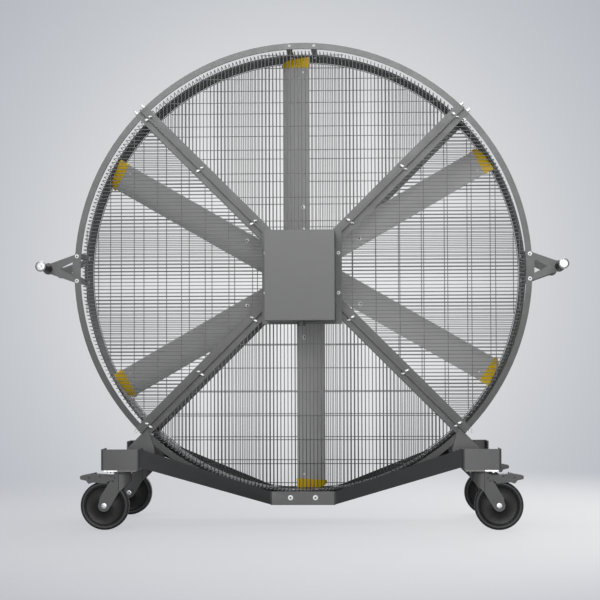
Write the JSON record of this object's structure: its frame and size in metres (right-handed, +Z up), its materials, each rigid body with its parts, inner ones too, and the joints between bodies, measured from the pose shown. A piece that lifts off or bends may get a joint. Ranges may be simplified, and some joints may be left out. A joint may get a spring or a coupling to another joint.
{
  "type": "drum fan",
  "caption": "Large mobile drum fan: round steel drum with wire guards and a direct-drive motor, on a bent steel base with braked swivel casters and side grips.",
  "frame": {"origin": "on the floor under the middle of the bounding box", "axes": "+Z up, +X to the right across the handles, -Y towards the motor cover, the fan axis along Y"},
  "size_m": [1.712, 0.708, 1.5799],
  "materials": {
    "frame_paint": "satin",
    "base_paint": "satin",
    "wire_paint": "satin",
    "shell_paint": "satin",
    "blade_paint": "satin",
    "cast_paint": "satin",
    "tyre_rubber": "matte",
    "grip_rubber": "matte",
    "hub_plastic": "satin",
    "black_plastic": "satin",
    "tip_plastic": "satin",
    "bright_steel": "polished",
    "zinc_plate": "brushed",
    "shaft_steel": "satin"
  },
  "bodies": {
    "frame": {"front_ring": "frame_paint", "rear_ring": "frame_paint", "drum_shell": "shell_paint", "ring_straps": "base_paint", "front_strut_1": "frame_paint", "front_strut_2": "frame_paint", "front_strut_3": "frame_paint", "front_strut_4": "frame_paint", "rear_struts": "frame_paint", "front_guard_top": "wire_paint", "front_guard_right": "wire_paint", "front_guard_bottom": "wire_paint", "front_guard_left": "wire_paint", "guard_basket": "wire_paint", "rear_guard_top": "wire_paint", "rear_guard_right": "wire_paint", "rear_guard_bottom": "wire_paint", "rear_guard_left": "wire_paint", "motor_plate": "base_paint", "motor_cover": "frame_paint", "motor_body": "cast_paint", "cable_gland": "black_plastic", "bearing_plate": "base_paint", "shaft_bearing": "cast_paint", "strut_bolts": "bright_steel", "frame_screws": "bright_steel", "handle_brackets": "frame_paint", "handle_rods": "bright_steel", "handle_grips": "grip_rubber", "front_base_bar": "base_paint", "rear_base_bar": "base_paint", "caster_boxes": "base_paint", "gussets": "base_paint", "caster_plates": "zinc_plate"},
    "fan": {"drive_shaft": "shaft_steel", "blade_hub": "blade_paint", "blade_1": "blade_paint", "blade_2": "blade_paint", "blade_3": "blade_paint", "blade_4": "blade_paint", "blade_5": "blade_paint", "blade_6": "blade_paint", "blade_tips": "tip_plastic", "blade_screws": "bright_steel"},
    "caster_fl": {"fork_fl": "base_paint"},
    "roller_fl": {"wheel_fl": "hub_plastic", "tyre_fl": "tyre_rubber"},
    "brake_fl": {"pedal_fl": "base_paint"},
    "caster_fr": {"fork_fr": "base_paint"},
    "roller_fr": {"wheel_fr": "hub_plastic", "tyre_fr": "tyre_rubber"},
    "brake_fr": {"pedal_fr": "base_paint"},
    "caster_rl": {"fork_rl": "base_paint"},
    "roller_rl": {"wheel_rl": "hub_plastic", "tyre_rl": "tyre_rubber"},
    "brake_rl": {"pedal_rl": "base_paint"},
    "caster_rr": {"fork_rr": "base_paint"},
    "roller_rr": {"wheel_rr": "hub_plastic", "tyre_rr": "tyre_rubber"},
    "brake_rr": {"pedal_rr": "base_paint"}
  },
  "joints": [
    {"name": "fan_spin", "type": "hinge", "parent": "frame", "child": "fan", "pos_m": [0, 0.01, 0.83], "axis": [0, 1, 0], "continuous": true},
    {"name": "swivel_fl", "type": "hinge", "parent": "frame", "child": "caster_fl", "pos_m": [-0.568, -0.277, 0.18], "axis": [0, 0, 1], "continuous": true},
    {"name": "roll_fl", "type": "hinge", "parent": "caster_fl", "child": "roller_fl", "pos_m": [-0.623, -0.277, 0.077], "axis": [0, 1, 0], "continuous": true},
    {"name": "brake_fl", "type": "hinge", "parent": "caster_fl", "child": "brake_fl", "pos_m": [-0.592, -0.277, 0.1692], "axis": [0, -1, 0], "range_deg": [0, 8]},
    {"name": "swivel_fr", "type": "hinge", "parent": "frame", "child": "caster_fr", "pos_m": [0.568, -0.277, 0.18], "axis": [0, 0, 1], "continuous": true},
    {"name": "roll_fr", "type": "hinge", "parent": "caster_fr", "child": "roller_fr", "pos_m": [0.623, -0.277, 0.077], "axis": [0, 1, 0], "continuous": true},
    {"name": "brake_fr", "type": "hinge", "parent": "caster_fr", "child": "brake_fr", "pos_m": [0.592, -0.277, 0.1692], "axis": [0, 1, 0], "range_deg": [0, 8]},
    {"name": "swivel_rl", "type": "hinge", "parent": "frame", "child": "caster_rl", "pos_m": [-0.568, 0.297, 0.18], "axis": [0, 0, 1], "continuous": true},
    {"name": "roll_rl", "type": "hinge", "parent": "caster_rl", "child": "roller_rl", "pos_m": [-0.623, 0.297, 0.077], "axis": [0, 1, 0], "continuous": true},
    {"name": "brake_rl", "type": "hinge", "parent": "caster_rl", "child": "brake_rl", "pos_m": [-0.592, 0.297, 0.1692], "axis": [0, -1, 0], "range_deg": [0, 8]},
    {"name": "swivel_rr", "type": "hinge", "parent": "frame", "child": "caster_rr", "pos_m": [0.568, 0.297, 0.18], "axis": [0, 0, 1], "continuous": true},
    {"name": "roll_rr", "type": "hinge", "parent": "caster_rr", "child": "roller_rr", "pos_m": [0.623, 0.297, 0.077], "axis": [0, 1, 0], "continuous": true},
    {"name": "brake_rr", "type": "hinge", "parent": "caster_rr", "child": "brake_rr", "pos_m": [0.592, 0.297, 0.1692], "axis": [0, 1, 0], "range_deg": [0, 8]}
  ]
}
